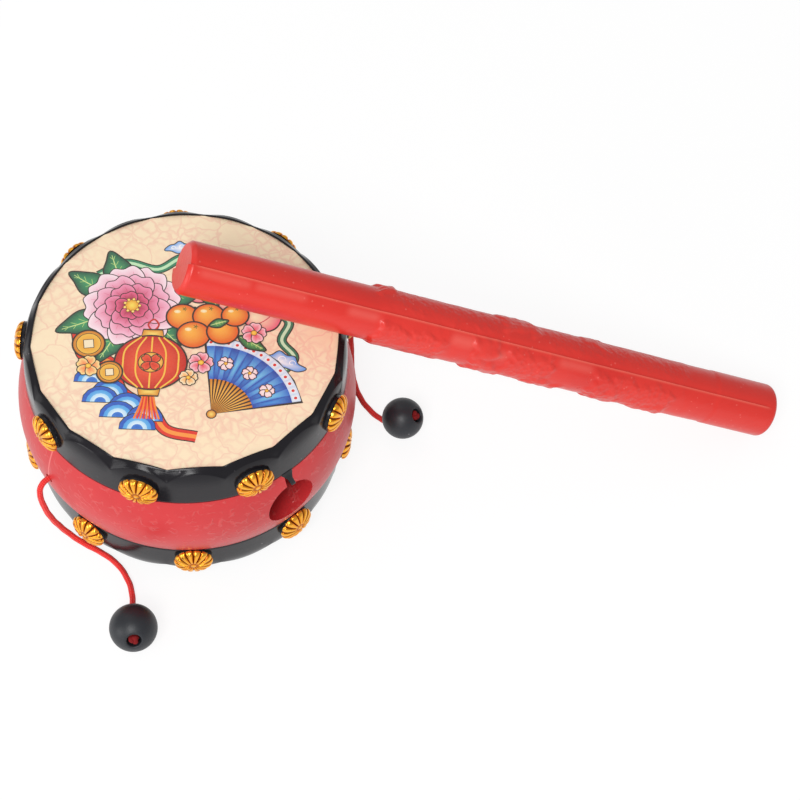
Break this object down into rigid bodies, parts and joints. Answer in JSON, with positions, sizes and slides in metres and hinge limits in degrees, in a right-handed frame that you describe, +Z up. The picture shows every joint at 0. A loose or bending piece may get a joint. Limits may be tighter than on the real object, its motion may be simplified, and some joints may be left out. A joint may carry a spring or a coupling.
{
  "type": "pellet drum rattle",
  "caption": "Hand rattle drum: round bulged barrel between lobed studded rims with printed heads, beads on cords that strike it, and a pull-off grip handle.",
  "frame": {"origin": "middle of the drum's base, on the table", "axes": "+Z up the drum's axis, -Y out of the handle socket, cords at -X and +X"},
  "size_m": [0.2232, 0.1707, 0.0965],
  "materials": {
    "shell_red": "satin",
    "rim_black": "satin",
    "head_print": "satin print",
    "stud_gold": "gold plated",
    "cord_red": "woven",
    "bead_black": "satin"
  },
  "bodies": {
    "drum": {"barrel_front_half": "shell_red", "barrel_back_half": "shell_red", "top_rim": "rim_black", "bottom_rim": "rim_black", "top_head": "head_print", "bottom_head": "head_print", "top_stud_1": "stud_gold", "top_stud_2": "stud_gold", "top_stud_3": "stud_gold", "top_stud_4": "stud_gold", "top_stud_5": "stud_gold", "top_stud_6": "stud_gold", "top_stud_7": "stud_gold", "top_stud_8": "stud_gold", "top_stud_9": "stud_gold", "bottom_stud_1": "stud_gold", "bottom_stud_2": "stud_gold", "bottom_stud_3": "stud_gold", "bottom_stud_4": "stud_gold", "bottom_stud_5": "stud_gold", "bottom_stud_6": "stud_gold", "bottom_stud_7": "stud_gold", "bottom_stud_8": "stud_gold", "bottom_stud_9": "stud_gold", "left_stop_knot": "cord_red", "right_stop_knot": "cord_red"},
    "handle": {"handle_upper_half": "shell_red", "handle_lower_half": "shell_red"},
    "left_pellet": {"left_cord": "cord_red", "left_bead": "bead_black", "left_tail_knot": "cord_red"},
    "right_pellet": {"right_cord": "cord_red", "right_bead": "bead_black", "right_tail_knot": "cord_red"}
  },
  "joints": [
    {"name": "handle_lift", "type": "slide", "parent": "drum", "child": "handle", "axis": [0, 0, 1], "range_m": [0, 0.12]},
    {"name": "left_swing", "type": "hinge", "parent": "drum", "child": "left_pellet", "pos_m": [-0.0544, 0, 0.03], "axis": [0, 0.4695, -0.8829], "range_deg": [0, 100]},
    {"name": "right_swing", "type": "hinge", "parent": "drum", "child": "right_pellet", "pos_m": [0.0544, 0, 0.03], "axis": [0, -0.4695, 0.8829], "range_deg": [0, 100]}
  ]
}
